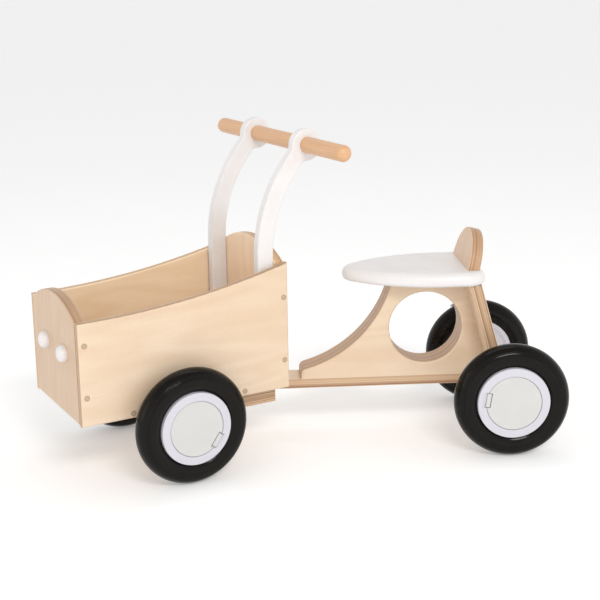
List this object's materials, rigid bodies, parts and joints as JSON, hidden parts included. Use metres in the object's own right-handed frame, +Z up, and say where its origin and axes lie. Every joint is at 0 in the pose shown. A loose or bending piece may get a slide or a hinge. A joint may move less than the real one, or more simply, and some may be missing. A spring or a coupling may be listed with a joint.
{
  "type": "ride-on cargo bike",
  "caption": "Child's wooden ride-on cargo bike: seat on a round-holed board, pivoting plywood box with handlebar and wheels front and rear.",
  "frame": {"origin": "middle of the base of the whole object's box, on the ground, in the rest pose", "axes": "+X forward along the beam, +Y to the rider's left, +Z up; in the rest pose the front half is steered 25.5 degrees to the left"},
  "size_m": [0.7886, 0.4342, 0.4832],
  "materials": {
    "birch_ply": "clear satin lacquer on birch plywood, plies showing on the edges",
    "beech": "clear satin lacquer on beech",
    "white_paint": "white satin paint over plywood",
    "white_knob": "white satin paint on turned wood",
    "rim_plastic": "moulded satin plastic",
    "cap_plastic": "moulded satin plastic",
    "tyre_rubber": "satin black rubber",
    "nylon": "natural nylon",
    "zinc_steel": "zinc plated steel"
  },
  "bodies": {
    "frame": {"beam": "birch_ply", "seat_support": "birch_ply", "rear_board": "birch_ply", "seat": "white_paint", "seat_back": "birch_ply", "seat_dowels": "beech", "back_dowels": "beech", "support_screws": "zinc_steel", "rear_board_screws": "zinc_steel", "rear_board_plugs": "beech", "pivot_bolt": "zinc_steel", "pivot_washers": "zinc_steel", "pivot_nut": "zinc_steel", "slip_disc": "nylon", "rear_axle": "zinc_steel", "rear_axle_spacers": "zinc_steel", "rear_axle_nuts": "zinc_steel"},
    "front_carriage": {"side_panel_left": "birch_ply", "axle_rail_left": "birch_ply", "handle_post_left": "white_paint", "lamp_knob_left": "white_knob", "side_panel_right": "birch_ply", "axle_rail_right": "birch_ply", "handle_post_right": "white_paint", "lamp_knob_right": "white_knob", "front_panel": "birch_ply", "rear_panel": "birch_ply", "floor_panel": "birch_ply", "handlebar": "beech", "box_screws": "zinc_steel", "post_screws": "zinc_steel", "rail_screws": "zinc_steel", "knob_screws": "zinc_steel", "wood_plugs": "beech", "pivot_sleeve": "zinc_steel", "front_axle": "zinc_steel", "front_axle_spacers": "zinc_steel", "front_axle_nuts": "zinc_steel"},
    "wheel_front_left": {"tyre_front_left": "tyre_rubber", "rim_front_left": "rim_plastic", "hub_cap_front_left": "cap_plastic", "hub_bushes_front_left": "nylon"},
    "wheel_front_right": {"tyre_front_right": "tyre_rubber", "rim_front_right": "rim_plastic", "hub_cap_front_right": "cap_plastic", "hub_bushes_front_right": "nylon"},
    "wheel_rear_left": {"tyre_rear_left": "tyre_rubber", "rim_rear_left": "rim_plastic", "hub_cap_rear_left": "cap_plastic", "hub_bushes_rear_left": "nylon"},
    "wheel_rear_right": {"tyre_rear_right": "tyre_rubber", "rim_rear_right": "rim_plastic", "hub_cap_rear_right": "cap_plastic", "hub_bushes_rear_right": "nylon"}
  },
  "joints": [
    {"name": "steering", "type": "hinge", "parent": "frame", "child": "front_carriage", "pos_m": [0.08324, -0.00844, 0.0935], "axis": [0, 0, 1], "range_deg": [-60.5, 9.5]},
    {"name": "roll_front_left", "type": "hinge", "parent": "front_carriage", "child": "wheel_front_left", "pos_m": [0.15991, 0.16995, 0.085], "axis": [-0.4305, 0.9026, 0], "continuous": true},
    {"name": "roll_front_right", "type": "hinge", "parent": "front_carriage", "child": "wheel_front_right", "pos_m": [0.27012, -0.06111, 0.085], "axis": [-0.4305, 0.9026, 0], "continuous": true},
    {"name": "roll_rear_left", "type": "hinge", "parent": "frame", "child": "wheel_rear_left", "pos_m": [-0.30926, 0.11156, 0.085], "axis": [0, 1, 0], "continuous": true},
    {"name": "roll_rear_right", "type": "hinge", "parent": "frame", "child": "wheel_rear_right", "pos_m": [-0.30926, -0.12844, 0.085], "axis": [0, 1, 0], "continuous": true}
  ]
}
